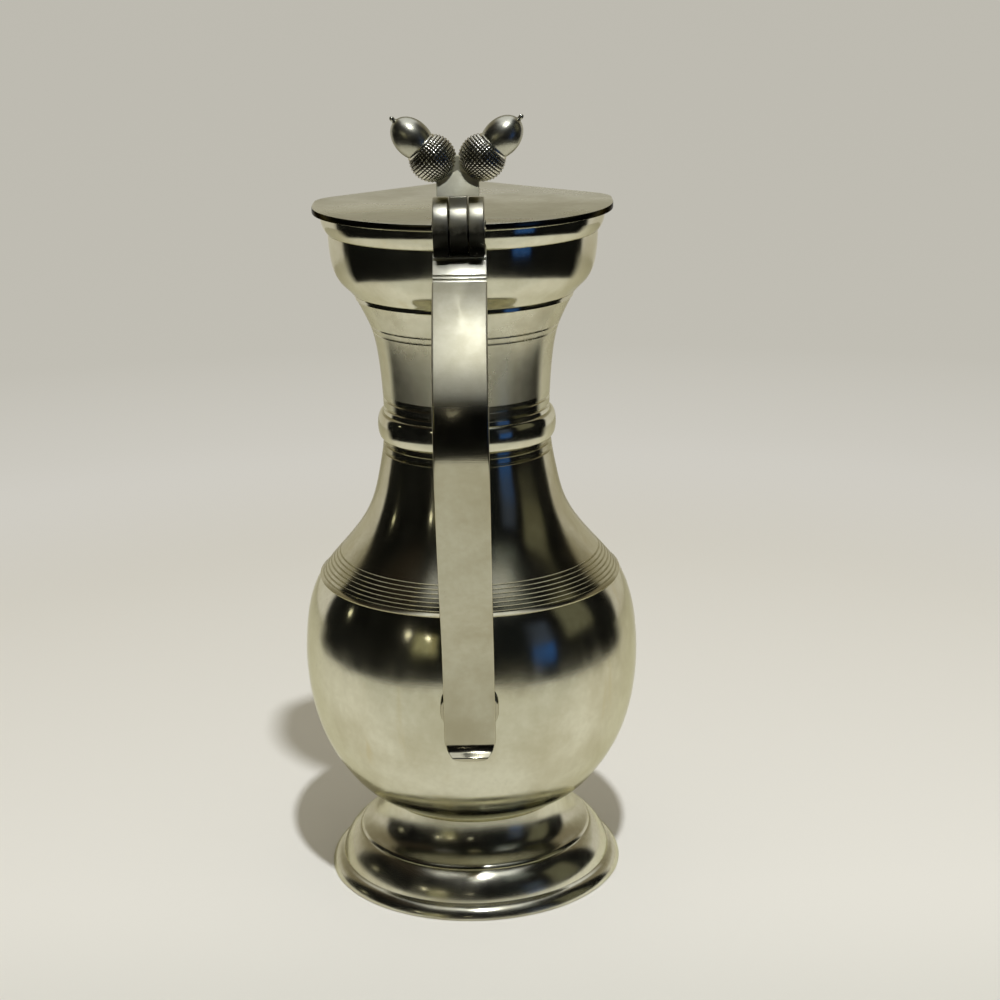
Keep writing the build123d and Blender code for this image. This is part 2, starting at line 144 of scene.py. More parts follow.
# Hinge, block and strap
EAR_ROOT = 11.0
NECK_DEPTH = 10.6
KNUCKLE_HALF, KNUCKLE_LEAVES = 2.6, 40
HOLLOW_SHARES = (0.0, 0.25, 0.45, 0.62, 0.76, 0.88)
TONGUE_WIDTH, TONGUE_THICKNESS, TONGUE_CORNER = 12.0, 1.6, 5.4
EAR_ROUND, BARREL_ROUND, BRIDGE_ROUND = 0.4, 0.3, 0.25
BRIDGE_FROM, BRIDGE_INTO = 4, 1
SWING_GAP = 1.0
BLOCK_TOP_REACH, BLOCK_NOSE_REACH, BLOCK_NOSE_DROP = 1.6, 8.6, 6.6
BLOCK_ARCH = 1.4
# Lines across the block's slope: share of its length, width, depth
BLOCK_LINES = [(0.155, 1.05, 0.75), (0.76, 0.7, 0.45), (0.90, 0.7, 0.45)]
BLOCK_LINE_SHAPE = ((-0.5, 0.0), (-0.1, 1.0), (0.1, 1.0), (0.5, 0.0))
BLOCK_ROUND = 0.12
STRAP_REACH, STRAP_DROP = 37.0, 42.4
STRAP_UPPER = [(0.238, 0.101), (0.593, 0.325), (0.790, 0.498), (0.935, 0.720)]
STRAP_LOWER = [(0.095, 0.178), (0.281, 0.368), (0.520, 0.571), (0.800, 0.745), (0.953, 0.881)]
STRAP_STAND_OFF, STRAP_THICKNESS = 2.3, 3.2
STRAP_FOOT_RISE, STRAP_FOOT_DROP, STRAP_FOOT_LEAN = 5.3, 14.6, 2.05
CURL_RADIUS, CURL_TURN = 3.3, 64.0
CURL_STEPS = 12
TIP_LENGTH, TIP_THICKNESS = 2.0, 1.5
TIP_SHARES = (0.25, 0.5, 0.7, 0.8, 0.87, 0.93, 0.97, 1.0)
END_CORNER = 5.8
STRAP_RIM, STRAP_UNDER_RIM, TIP_RIM = 0.6, 0.35, 0.4
PAD_CORNER, PAD_ROUND = 5.5, 0.8
PAD_TUCK, PAD_INTO_BELLY = 0.3, 1.5

# Thumbpiece
STEM_BASE = (6.1, 5.3)
STEM_SHOULDER, STEM_SHOULDER_DEPTH = 4.0, 2.8
STEM_PEAK, STEM_PEAK_DEPTH = 7.0, 1.1
STEM_TOP, STEM_TOP_SIZE, STEM_TOP_RIDGE = 11.0, (1.0, 1.3), 0.3
STEM_ROUND = 0.3
ACORN_RISE, ACORN_LEAN = 19.2, 45.0
ACORN_BALL, ACORN_GAP = 6.9, 0.4
RIM_HEIGHT, RIM_SINK, RIM_GAP = 4.8, 0.9, 0.09
KNURL_COLUMNS, KNURL_ROWS = 42, 15
KNURL_DEPTH = 0.34
KNURL_GAP, KNURL_SLOPE, KNURL_CROWN = 0.14, 0.05, 0.2
NUT_RADIUS, NUT_HALF, NUT_CENTRE = 5.25, 7.1, 7.85
PIP_RADIUS, PIP_LENGTH = 0.72, 1.2
NUT_STEPS = 40


# Outlines

def between(start, end, shares):
    """Points at the given shares of the way from start to end, across and up."""
    across, up = end[0] - start[0], end[1] - start[1]
    return [(start[0] + across * a, start[1] + up * b) for a, b in shares]


def smooth_run(points, step=1.0, start=None, end=None):
    """A dense, evenly curved run through the points, with its end headings where they are given."""
    points = [Vector(p) for p in points]
    gaps = [(b - a).length for a, b in zip(points, points[1:])]
    last = len(points) - 1
    slopes = [(b - a).normalized() for a, b in zip(points, points[1:])]
    slopes.append(slopes[-1].copy())
    for _ in range(60):
        for i in range(1, last):
            a, b = gaps[i - 1], gaps[i]
            pull = ((points[i] - points[i - 1]) * (b / a) + (points[i + 1] - points[i]) * (a / b)) * 3
            slopes[i] = (pull - slopes[i - 1] * b - slopes[i + 1] * a) / (2 * (a + b))
        free_start = ((points[1] - points[0]) * (3 / gaps[0]) - slopes[1]) / 2
        free_end = ((points[-1] - points[-2]) * (3 / gaps[-1]) - slopes[-2]) / 2
        slopes[0] = Vector(start).normalized() if start else free_start
        slopes[-1] = Vector(end).normalized() if end else free_end
    run = []
    for i in range(last):
        count = max(2, round(gaps[i] / step))
        for k in range(count):
            t = k / count
            run.append(points[i] * (2 * t ** 3 - 3 * t * t + 1)
                       + slopes[i] * gaps[i] * (t ** 3 - 2 * t * t + t)
                       + points[i + 1] * (3 * t * t - 2 * t ** 3)
                       + slopes[i + 1] * gaps[i] * (t ** 3 - t * t))
    run.append(points[-1])
    return run


def bowed(start, end, crown, count=12):
    """A circular arc from start to end, whose middle stands off its chord to the right by the crown."""
    a, b = Vector(start), Vector(end)
    half = (b - a).length / 2
    along = (b - a).normalized()
    right = Vector((along.y, -along.x))
    radius = (half * half + crown * crown) / (2 * crown)
    centre = (a + b) / 2 - right * (radius - crown)
    reach = asin(half / radius)
    return [centre + (right * cos(t) + along * sin(t)) * radius
            for t in [reach * (2 * k / count - 1) for k in range(count + 1)]]


def grooved(run, heights, width, depth):
    """The run with a V line turned into it at each height."""
    spans = []
    for height in heights:
        for low, high in zip(run, run[1:]):
            if low.y <= height < high.y:
                along = (high - low).normalized()
                centre = low.lerp(high, (height - low.y) / (high.y - low.y))
                spans.append((centre, along, Vector((-along.y, along.x))))
                break
    kept = [p for p in run
            if all(abs((p - centre).dot(along)) > width * 0.6 for centre, along, _ in spans)]
    for centre, along, inward in spans:
        for offset, sink in LINE_SHAPE:
            kept.append(centre + along * (offset * width) + inward * (depth * sink))
    kept.sort(key=lambda p: p.y)
    return kept


def inside_of(run, thickness, every=3):
    """Points of the inner wall, from the top down."""
    inner = []
    for i in range(0, len(run), every):
        a, b = run[max(i - 1, 0)], run[min(i + 1, len(run) - 1)]
        along = (b - a).normalized()
        inner.append(run[i] + Vector((-along.y, along.x)) * thickness)
    return inner[::-1]


def foot_outline():
    """The foot's section, up its outer side and down its inner one."""
    flange_radius, torus_radius = foot_radius - FLANGE_INSET, foot_radius - TORUS_INSET
    flange = bowed((foot_radius, FLANGE_EDGE), (flange_radius, FLANGE_HEIGHT), FLANGE_CROWN, 14)
    torus = bowed((flange_radius - CREASE_IN, FLANGE_HEIGHT + CREASE_UP), (torus_radius, TORUS_HEIGHT),
                  TORUS_CROWN, 16)
    ledge = [(torus_radius - LEDGE_IN, TORUS_HEIGHT + LEDGE_UP),
             (torus_radius - FOOT_STEP, TORUS_HEIGHT + FOOT_STEP)]
    start, top = (ledge[1][0] - FLARE_IN, ledge[1][1] + FLARE_UP), (FOOT_TOP_RADIUS, foot_top)
    flare = smooth_run([start] + between(start, top, FOOT_FLARE) + [top], 0.7)
    outer = [Vector((foot_radius - FLANGE_EDGE, 0))] + flange + torus + [Vector(p) for p in ledge] + flare
    knee = between(start, top, FOOT_FLARE)[0]
    inner = [(FOOT_TOP_RADIUS - FOOT_WALL, foot_top),
             (FOOT_TOP_RADIUS - FOOT_WALL, knee[1] + FOOT_WALL),
             (knee[0] - FOOT_WALL, TORUS_HEIGHT + FOOT_STEP),
             (torus_radius - FOOT_WALL, TORUS_HEIGHT - FOOT_WALL),
             (flange_radius - FOOT_WALL, FLANGE_HEIGHT),
             (flange_radius - FOOT_WALL, 0)]
    return outer + [Vector(p) for p in inner]


def body_run():
    """The outer side of bowl and shoulder, from the foot to the collar."""
    joint = (FOOT_TOP_RADIUS + JOINT_OUT, foot_top + JOINT_UP)
    belly = (belly_radius, foot_top + BELLY_RISE)
    seat = (SEAT_RADIUS, collar_base)
    bottom = (FOOT_TOP_RADIUS, foot_top)
    bowl = between(bottom, belly, BOWL_SHAPE)
    shoulder = between(belly, seat, SHOULDER_SHAPE)
    run = smooth_run([joint] + bowl + [belly] + shoulder + [seat], 0.9, start=(0.86, 0.5), end=(-0.06, 1))
    return [Vector(bottom), Vector((FOOT_TOP_RADIUS + FILLET_OUT, foot_top + FILLET_UP))] + run


def neck_run():
    """The outer side of the neck, from the collar to the cup."""
    start, end = (NECK_RADIUS, collar_top + NECK_START), (neck_top_radius, cup_base)
    return smooth_run([start] + between(start, end, NECK_SHAPE) + [end], 0.8, start=(0, 1), end=(0.62, 1))


def cup_outline():
    """The mouth cup's section, up its outer side and down its inner one."""
    crease = (lip_radius - CUP_INSET, lip_top - LIP_RISE)
    step_top = cup_base + STEP_HEIGHT
    step = [(STEP_RADIUS - CUP_CHAMFER, cup_base), (STEP_RADIUS, cup_base + CUP_CHAMFER)]
    step += [(STEP_RADIUS, step_top)] + [(STEP_RADIUS + out, step_top + up) for out, up in STEP_LINE]
    start = (STEP_RADIUS + STEP_EASE, step_top + STEP_EASE)
    ogee = smooth_run([start] + between(start, crease, CUP_SHAPE) + [crease], 0.6,
                      start=(0.7, 0.7), end=(0.03, 1))
    flare = bowed((crease[0] + 0.15, crease[1] + 0.1), (lip_radius, lip_top - LIP_EDGE), LIP_BOW, 10)
    rim = [(lip_radius, lip_top - CUP_CHAMFER), (lip_radius - CUP_CHAMFER, lip_top)]
    mouth = lip_radius - WALL
    inner = [(mouth + CUP_CHAMFER, lip_top), (mouth, lip_top - CUP_CHAMFER), (mouth, lip_top - LIP_EDGE),
             (crease[0] - WALL, crease[1] - 1.0)]
    outer = [Vector(p) for p in step] + ogee + flare + [Vector(p) for p in rim]
    foot = [Vector((neck_top_radius - WALL + 0.1, cup_base))]
    return outer + [Vector(p) for p in inner] + inside_of(ogee, WALL, 4)[1:-1] + foot


# Shapes

def settle(bm, name, body, slot, materials, *nodes, sharp=32, warp=0.0):
    """Turns a bmesh in millimetres into a finished piece that rides on a body."""
    if warp:
        for v in bm.verts:
            reach = Vector((v.co.x, v.co.y, 0))
            if reach.length > 1:
                push = noise.noise(v.co * 0.045) + 0.5 * noise.noise(v.co * 0.11 + Vector((7, 3, 1)))
                v.co += reach.normalized() * (push * warp)
    bmesh.ops.scale(bm, vec=(MM, MM, MM), verts=bm.verts)
    mesh = bpy.data.meshes.new(name)
    bm.to_mesh(mesh)
    bm.free()
    mesh.shade_smooth()
    mesh.set_sharp_from_angle(angle=radians(sharp))
    for material in materials:
        mesh.materials.append(material)
    piece = bpy.data.objects.new(name, mesh)
    bpy.context.collection.objects.link(piece)
    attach(piece, body)
    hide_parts(*nodes)
    return piece


def spin_loop(points, closed=True, steps=ROUND_STEPS):
    """Spins an outline about Z into a closed mesh."""
    bm = bmesh.new()
    verts = [bm.verts.new((p[0], 0, p[1])) for p in points]
    edges = [bm.edges.new(pair) for pair in zip(verts, verts[1:])]
    if closed:
        edges.append(bm.edges.new((verts[-1], verts[0])))
    bmesh.ops.spin(bm, geom=verts + edges, cent=(0, 0, 0), axis=(0, 0, 1), angle=2 * pi, steps=steps,
                   use_merge=True)
    bmesh.ops.remove_doubles(bm, verts=bm.verts, dist=0.0005)
    bmesh.ops.recalc_face_normals(bm, faces=bm.faces)
    return bm


def skinned(loops):
    """Bridges a row of closed loops into one closed mesh."""
    bm = bmesh.new()
    rings = []
    for loop in loops:
        verts = [bm.verts.new(p) for p in loop]
        rings.append([bm.edges.new(pair) for pair in zip(verts, verts[1:] + verts[:1])])
    for a, b in zip(rings, rings[1:]):
        bmesh.ops.bridge_loops(bm, edges=a + b)
    for ring in (rings[0], rings[-1]):
        bmesh.ops.edgeloop_fill(bm, edges=ring)
    bmesh.ops.recalc_face_normals(bm, faces=bm.faces)
    return bm


def prism(points, plane, low, high):
    """A polygon in the XY or YZ plane, pushed along the third axis from low to high."""
    if plane == "XY":
        corners = [(a, b, low) for a, b in points]
        push = Vector((0, 0, high - low))
    else:
        corners = [(low, a, b) for a, b in points]
        push = Vector((high - low, 0, 0))
    bm = bmesh.new()
    face = bm.faces.new([bm.verts.new(p) for p in corners])
    made = bmesh.ops.extrude_face_region(bm, geom=[face])
    moved = [g for g in made["geom"] if isinstance(g, bmesh.types.BMVert)]
    bmesh.ops.translate(bm, vec=push, verts=moved)
    bmesh.ops.recalc_face_normals(bm, faces=bm.faces)
    return bm


def bevel_sharp(bm, width, segments=3, angle=60):
    """Rounds every edge that turns by more than the angle."""
    edges = [e for e in bm.edges if len(e.link_faces) == 2 and degrees(e.calc_face_angle(0)) > angle]
    bmesh.ops.bevel(bm, geom=edges, offset=width, offset_type="OFFSET", affect="EDGES", segments=segments,
                    profile=0.5, material=-1, clamp_overlap=True)
    return bm


def joined(first, *others):
    """Adds the other bmeshes to the first one."""
    for other in others:
        mesh = bpy.data.meshes.new("join")
        other.to_mesh(mesh)
        other.free()
        first.from_mesh(mesh)
        bpy.data.meshes.remove(mesh)
    return first


def round_side(half, opening, count=56):
    """The barrel's round side as (y, z), from one end of an opening of that half width to the other."""
    reach = asin(half / barrel_radius)
    start = reach - pi / 2 if opening == "below" else reach + pi / 2
    sweep = 2 * (pi - reach)
    return [(hinge_y + barrel_radius * cos(start + sweep * k / count),
             hinge_z + barrel_radius * sin(start + sweep * k / count)) for k in range(count + 1)]


# Pieces

def make_foot(foot_finish):
    settle(spin_loop(foot_outline()), "foot", "flagon", "pewter_satin", [foot_finish], "foot", warp=0.05)


def make_body(bowl_finish, shoulder_finish):
    run = body_run()
    low = [p for p in run if p.y < seam_height - SEAM_CLEAR]
    high = [p for p in run if p.y > seam_height + SEAM_CLEAR]
    at_seam = [p for p in run if abs(p.y - seam_height) <= SEAM_SEARCH][0]
    seam = Vector((at_seam.x - SEAM_DEPTH, seam_height))
    seam_inside = Vector((seam.x - WALL, seam_height))
    inner_low = inside_of(low, WALL, 4)
    bowl = low + [Vector((at_seam.x, seam_height - SEAM_HALF)), seam, seam_inside] + inner_low[1:]
    bowl += [Vector((SPINDLE_HOLE, inner_low[-1].y)), Vector((SPINDLE_HOLE, foot_top))]
    settle(spin_loop(bowl), "bowl", "flagon", "pewter_satin", [bowl_finish], "bowl", warp=0.09)
    reeds = [seam_height + REED_FIRST + REED_PITCH * k for k in range(REED_COUNT)]
    lined = grooved(high, reeds, REED_WIDTH, REED_DEPTH)
    lined = grooved(lined, [collar_base - down for down in SHOULDER_LINES], FINE_WIDTH, FINE_DEPTH)
    shoulder = [seam, Vector((at_seam.x - SEAM_SHOULDER, seam_height + SEAM_HALF))] + lined
    shoulder += [Vector((SEAT_RADIUS, collar_middle)), Vector((SEAT_RADIUS - WALL, collar_middle))]
    shoulder += inside_of(high, WALL, 4) + [seam_inside]
    settle(spin_loop(shoulder), "shoulder", "flagon", "pewter_satin", [shoulder_finish], "shoulder",
           warp=0.07)


def make_neck(satin, neck_finish):
    arch = [Vector((SEAT_RADIUS - COLLAR_TUCK, collar_base))]
    for k in range(COLLAR_STEPS + 1):
        a = pi * k / COLLAR_STEPS
        arch.append(Vector((SEAT_RADIUS + (collar_radius - SEAT_RADIUS) * sin(a) ** COLLAR_FULLNESS,
                            collar_middle - cos(a) * (collar_top - collar_base) / 2)))
    arch.append(Vector((SEAT_RADIUS - COLLAR_TUCK, collar_top)))
    settle(spin_loop(arch), "neck_ring", "flagon", "pewter_satin", [satin], "neck_ring", warp=0.03)
    run = neck_run()
    lined = grooved(run, [collar_top + up for up in NECK_LINES], FINE_WIDTH, FINE_DEPTH)
    lined = grooved(lined, [cup_base - down for down in THROAT_LINES], THROAT_LINE_WIDTH, THROAT_LINE_DEPTH)
    outline = [Vector((SEAT_RADIUS, collar_middle)), Vector((SEAT_RADIUS, collar_top))] + lined
    outline += inside_of(run, WALL, 4)
    outline[-1].y = collar_top + NECK_START
    outline.append(Vector((SEAT_RADIUS - WALL, collar_middle)))
    bm = spin_loop(outline)
    for face in bm.faces:
        face.material_index = 1 if face.calc_center_median().z < collar_top + LINED_HEIGHT else 0
    settle(bm, "neck", "flagon", "pewter_satin", [neck_finish, satin], "neck", warp=0.04)
    settle(spin_loop(cup_outline()), "mouth_cup", "flagon", "pewter_satin", [satin], "mouth_cup", warp=0.05)


def heart_points():
    """The lid's outline, anticlockwise, with a round back, eased corners and a blunt point."""
    turn = radians(LID_POINT_ANGLE)
    corner_x = lid_radius - LID_CORNER
    side_y = LID_FORWARD + LID_SIDE
    end = Vector((corner_x + LID_CORNER * cos(turn), side_y + LID_CORNER * sin(turn)))
    tip_y = end.y + end.x / tan(turn)
    blunt_y = tip_y - LID_POINT / sin(turn)
    points = [Vector((lid_radius * sin(a), LID_FORWARD - lid_radius * cos(a)))
              for a in [radians(2 * k) for k in range(46)]]
    points += [Vector((corner_x + LID_CORNER * cos(turn * k / CORNER_STEPS),
                       side_y + LID_CORNER * sin(turn * k / CORNER_STEPS)))
               for k in range(CORNER_STEPS + 1)]
    points += [Vector((LID_POINT * cos(a), blunt_y + LID_POINT * sin(a)))
               for a in [turn + (pi / 2 - turn) * k / POINT_STEPS for k in range(POINT_STEPS + 1)]]
    return points + [Vector((-p.x, p.y)) for p in points[::-1] if p.x > 0.01]


def make_lid(satin, lid_finish, lid_edge):
    bm = prism(heart_points(), "XY", lip_top, lid_top)
    bevel_sharp(bm, LID_ROUND, 2)
    for face in bm.faces:
        face.material_index = 0 if abs(face.normal.z) > 0.9 else 1
    settle(bm, "lid_plate", "lid", "pewter_satin", [lid_finish, lid_edge], "lid_plate")
    outer, low = locating_high[0], locating_low[2]
    inner = outer - LOCATING_WALL
    ring = [(outer, low + LOCATING_CHAMFER), (outer, lip_top), (inner, lip_top), (inner, low),
            (outer - LOCATING_CHAMFER, low)]
    settle(spin_loop(ring), "lid_locating_ring", "lid", "pewter_satin", [satin], "lid_locating_ring")


def make_ears(cast):
    root = EAR_ROOT / 2
    points = [(hinge_y - root, block_top), (hinge_y + root, block_top)] + round_side(root, "below")
    for name in ("hinge_ear_left", "hinge_ear_right"):
        low, high = node_size(name)
        bm = bevel_sharp(prism(points, "YZ", low[0], high[0]), EAR_ROUND, 3)
        settle(bm, name, "flagon", "pewter_brushed", [cast], name)


def make_knuckle(cast):
    """The lid's hinge leaf: a barrel with hollow sides up to the stem, a tongue on the lid and a bridge."""
    half, thick = KNUCKLE_HALF, TONGUE_THICKNESS
    rise, root = stem_low[2], NECK_DEPTH / 2
    leave = radians(KNUCKLE_LEAVES)
    tangent_z = barrel_radius * sin(leave) + (barrel_radius * cos(leave) - root) / tan(leave)
    hollow = []
    for share in HOLLOW_SHARES:
        a, b, c = (1 - share) ** 2, 2 * share * (1 - share), share ** 2
        hollow.append((root * (a + b) + barrel_radius * cos(leave) * c,
                       (rise - hinge_z) * a + tangent_z * b + barrel_radius * sin(leave) * c))
    points = [(hinge_y + y, hinge_z + z) for y, z in hollow[::-1]]
    points += [(hinge_y - y, hinge_z + z) for y, z in hollow]
    points += round_side(barrel_radius * cos(leave), "above")
    barrel = bevel_sharp(prism(points, "YZ", -half, half), BARREL_ROUND, 3)
    back = hinge_y + barrel_radius + SWING_GAP
    front = knuckle_high[1]
    side = TONGUE_WIDTH / 2
    outline = [(-side, back), (side, back), (side, front - TONGUE_CORNER)]
    outline += [(side - TONGUE_CORNER * (1 - cos(a)), front - TONGUE_CORNER * (1 - sin(a)))
                for a in [radians(10 * k) for k in range(1, 10)]]
    outline += [(-x, y) for x, y in outline[:1:-1]]
    tongue = bevel_sharp(prism(outline, "XY", lid_top, lid_top + thick), EAR_ROUND, 3)
    near, far = hinge_y + BRIDGE_FROM, back + BRIDGE_INTO
    bridge = [(-half, near), (half, near), (half, far), (-half, far)]
    bridge = bevel_sharp(prism(bridge, "XY", lid_top, lid_top + thick), BRIDGE_ROUND, 2)
    settle(joined(barrel, tongue, bridge), "hinge_knuckle", "lid", "pewter_brushed", [cast], "hinge_knuckle")


def strap_run():
    """Outer side of the strap as (y, z), from the hinge block down to its tip, and where it curls."""
    head = (hinge_y - BLOCK_NOSE_REACH, block_top - BLOCK_NOSE_DROP)
    widest = (-(belly_radius + STRAP_REACH), head[1] - STRAP_DROP)
    lower = (-(belly_radius + STRAP_STAND_OFF + STRAP_THICKNESS), foot_top + BELLY_RISE + STRAP_FOOT_RISE)
    end = (lower[0] + STRAP_FOOT_LEAN, lower[1] - STRAP_FOOT_DROP)
    points = [head] + between(head, widest, STRAP_UPPER) + [widest]
    points += between(widest, lower, STRAP_LOWER) + [lower, end]
    run = smooth_run(points, 1.0)
    curl_from = len(run) - 1
    along = (run[-1] - run[-2]).normalized()
    centre = run[-1] + Vector((along.y, -along.x)) * CURL_RADIUS
    arm = run[-1] - centre
    for k in range(1, CURL_STEPS + 1):
        turn = Matrix.Rotation(-radians(CURL_TURN) * k / CURL_STEPS, 2)
        run.append(centre + turn @ arm)
    heading = Matrix.Rotation(-radians(CURL_TURN), 2) @ along
    for share in TIP_SHARES:
        run.append(run[curl_from + CURL_STEPS] + heading * (TIP_LENGTH * share))
    return run, curl_from


def strap_loop(place, inward, thick, sink):
    """The strap's section at a place on its outer side, with rounded rims."""
    loop = []
    corners = ((1, STRAP_RIM, STRAP_RIM + sink, -90), (1, STRAP_UNDER_RIM, thick - STRAP_UNDER_RIM, 0),
               (-1, STRAP_UNDER_RIM, thick - STRAP_UNDER_RIM, 90), (-1, STRAP_RIM, STRAP_RIM + sink, 180))
    for side, rim, deep, first in corners:
        for k in range(5):
            a = radians(first + 22.5 * k)
            x = side * (strap_half - rim) + rim * cos(a)
            point = place + inward * (deep + rim * sin(a))
            fit = strap_half
            drop = strap_low[2] + END_CORNER - point.y
            if drop > 0:
                fit += sqrt(max(END_CORNER ** 2 - drop ** 2, 0)) - END_CORNER
            loop.append((x * fit / strap_half, point.x, point.y))
    return loop


def make_strap(brushed):
    run, curl_from = strap_run()
    total = sum((b - a).length for a, b in zip(run[curl_from:], run[curl_from + 1:]))
    gone = 0.0
    loops = []
    for i, place in enumerate(run):
        a, b = run[max(i - 1, 0)], run[min(i + 1, len(run) - 1)]
        along = (b - a).normalized()
        if i > curl_from:
            gone += (place - run[i - 1]).length
        share = gone / total
        thick = STRAP_THICKNESS + (TIP_THICKNESS - STRAP_THICKNESS) * share * share * (3 - 2 * share)
        near = max(TIP_RIM - (total - gone), 0) if i > curl_from else 0
        sink = TIP_RIM - sqrt(TIP_RIM ** 2 - near ** 2)
        loops.append(strap_loop(place, Vector((-along.y, along.x)), thick, sink))
    settle(skinned(loops), "handle_strap", "flagon", "pewter_brushed", [brushed], "handle_strap", sharp=28)


def make_pad(brushed):
    low, high = Vector(pad_low), Vector(pad_high)
    low.y += PAD_TUCK
    high.y += PAD_INTO_BELLY
    bm = bmesh.new()
    bmesh.ops.create_cube(bm, size=1)
    bmesh.ops.scale(bm, vec=high - low, verts=bm.verts)
    bmesh.ops.translate(bm, vec=(low + high) / 2, verts=bm.verts)
    upright = [e for e in bm.edges if abs(e.verts[0].co.y - e.verts[1].co.y) > 1]
    bmesh.ops.bevel(bm, geom=upright, offset=PAD_CORNER, offset_type="OFFSET", affect="EDGES", segments=8,
                    profile=0.5, material=-1, clamp_overlap=True)
    bevel_sharp(bm, PAD_ROUND, 4)
    settle(bm, "handle_pad", "flagon", "pewter_brushed", [brushed], "handle_pad")


def make_block(brushed):
    run, _ = strap_run()
    along = (run[1] - run[0]).normalized()
    inner_head = run[0] + Vector((-along.y, along.x)) * STRAP_THICKNESS
    front = Vector((hinge_y - BLOCK_TOP_REACH, block_top))
    slope = (run[0] - front).normalized()
    length = (run[0] - front).length
    inward = Vector((-slope.y, slope.x))
    face = [front]
    for share, width, depth in BLOCK_LINES:
        centre = front + slope * (length * share)
        for offset, sink in BLOCK_LINE_SHAPE:
            face.append(centre + slope * (offset * width) + inward * (sink * depth))
    wall = Vector((WALL - (lip_radius - CUP_INSET), block_low[2]))
    under = bowed(inner_head, wall, BLOCK_ARCH, 10)
    if under[5].y < (inner_head.y + wall.y) / 2:
        under = [inner_head + wall - p for p in under[::-1]]
    points = [Vector((wall.x, block_top))] + face + [run[0]] + under
    half = block_high[0]
    bm = bevel_sharp(prism(points, "YZ", -half, half), BLOCK_ROUND, 2, angle=25)
    settle(bm, "hinge_block", "flagon", "pewter_brushed", [brushed], "hinge_block", sharp=26)


def make_stem(cast):
    low = stem_low[2]
    sizes = [(STEM_BASE[0], STEM_BASE[1], low, STEM_BASE[1], low),
             (STEM_BASE[0], STEM_SHOULDER_DEPTH, low + STEM_SHOULDER, STEM_PEAK_DEPTH, low + STEM_PEAK),
             (STEM_TOP_SIZE[0], STEM_TOP_SIZE[1], low + STEM_TOP, STEM_TOP_SIZE[1] + STEM_TOP_RIDGE,
              low + STEM_TOP)]
    loops = [[(-wide, hinge_y - deep, side), (0, hinge_y - ridge, middle), (wide, hinge_y - deep, side),
              (wide, hinge_y + deep, side), (0, hinge_y + ridge, middle), (-wide, hinge_y + deep, side)]
             for wide, deep, side, ridge, middle in sizes]
    bm = bevel_sharp(skinned(loops), STEM_ROUND, 2, angle=20)
    settle(bm, "thumbpiece_stem", "lid", "pewter_brushed", [cast], "thumbpiece_stem")


def spun_about_lean(outline, side, steps):
    """Spins an outline of (radius, height) about Z, and gives the move to an acorn's leaning axis."""
    bm = spin_loop(outline, closed=False, steps=steps)
    centre = (side * (ACORN_BALL + ACORN_GAP / 2), hinge_y, hinge_z + ACORN_RISE)
    return bm, Matrix.Translation(centre) @ Matrix.Rotation(side * radians(ACORN_LEAN), 4, "Y")


def make_acorn_cup(side, word, knurled, groove):
    """A ball with a rim and rows of raised squares."""
    rim_angle = acos(RIM_HEIGHT / ACORN_BALL)
    rim_radius = ACORN_BALL * sin(rim_angle)
    floor = ACORN_BALL - KNURL_DEPTH
    first = rim_angle + RIM_GAP
    outline = [(0, RIM_HEIGHT - RIM_SINK), (rim_radius - 0.5, RIM_HEIGHT - RIM_SINK),
               (rim_radius - 0.3, RIM_HEIGHT),
               (rim_radius + 0.05, RIM_HEIGHT), (rim_radius + 0.2, RIM_HEIGHT - 0.4)]
    for k in range(KNURL_ROWS + 1):
        a = first + (pi - first) * k / KNURL_ROWS
        outline.append((floor * sin(a), floor * cos(a)))
    bm, place = spun_about_lean(outline, side, KNURL_COLUMNS)
    limit = floor * cos(first) + 0.01
    squares = [f for f in bm.faces if len(f.verts) == 4 and f.calc_center_median().z < limit
               and f.calc_center_median().length > floor * 0.9]
    # The gaps round the squares take the second, groove material: patina and painted shade
    for f in squares:
        f.material_index = 1
    bmesh.ops.inset_individual(bm, faces=squares, thickness=KNURL_GAP, depth=0.0, use_even_offset=True)
    for f in squares:
        f.material_index = 0
    for across, share in ((KNURL_SLOPE, 0.7), (KNURL_CROWN, 0.3)):
        bmesh.ops.inset_individual(bm, faces=squares, thickness=across, depth=KNURL_DEPTH * share,
                                   use_even_offset=True)
    bmesh.ops.transform(bm, matrix=place, verts=bm.verts)
    name = "acorn_cup_" + word
    settle(bm, name, "lid", "pewter_knurled", [knurled, groove], name, sharp=45)


def make_acorn_nut(side, word, bright):
    """A smooth nut with a small knob at its point."""
    tip = NUT_CENTRE + NUT_HALF
    angles = [pi * k / NUT_STEPS for k in range(1, NUT_STEPS)]
    outline = [(0, NUT_CENTRE - NUT_HALF)]
    outline += [(NUT_RADIUS * sin(a), NUT_CENTRE - NUT_HALF * cos(a)) for a in angles]
    outline = [p for p in outline if p[1] < NUT_CENTRE or p[0] > PIP_RADIUS + 0.2]
    outline += [(PIP_RADIUS, tip), (PIP_RADIUS * 0.85, tip + 0.4), (PIP_RADIUS, tip + PIP_LENGTH - 0.5),
                (PIP_RADIUS * 0.9, tip + PIP_LENGTH), (PIP_RADIUS * 0.5, tip + PIP_LENGTH + 0.4),
                (0, tip + PIP_LENGTH + 0.5)]
    bm, place = spun_about_lean(outline, side, 64)
    bmesh.ops.transform(bm, matrix=place, verts=bm.verts)
    name = "acorn_nut_" + word
    settle(bm, name, "lid", "pewter_bright", [bright], name, sharp=40)


# Materials

WARM = (0.75, 0.738, 0.590)
DULL = (0.57, 0.54, 0.39)


def add(tree, kind, values=None, **settings):
    """Adds a node, with its settings, and its inputs as numbers or as links."""
    node = tree.nodes.new(kind)
    for key, value in settings.items():
        setattr(node, key, value)
    for key, value in (values or {}).items():
        if isinstance(value, bpy.types.NodeSocket):
            tree.links.new(value, node.inputs[key])
        else:
            node.inputs[key].default_value = value
    return node


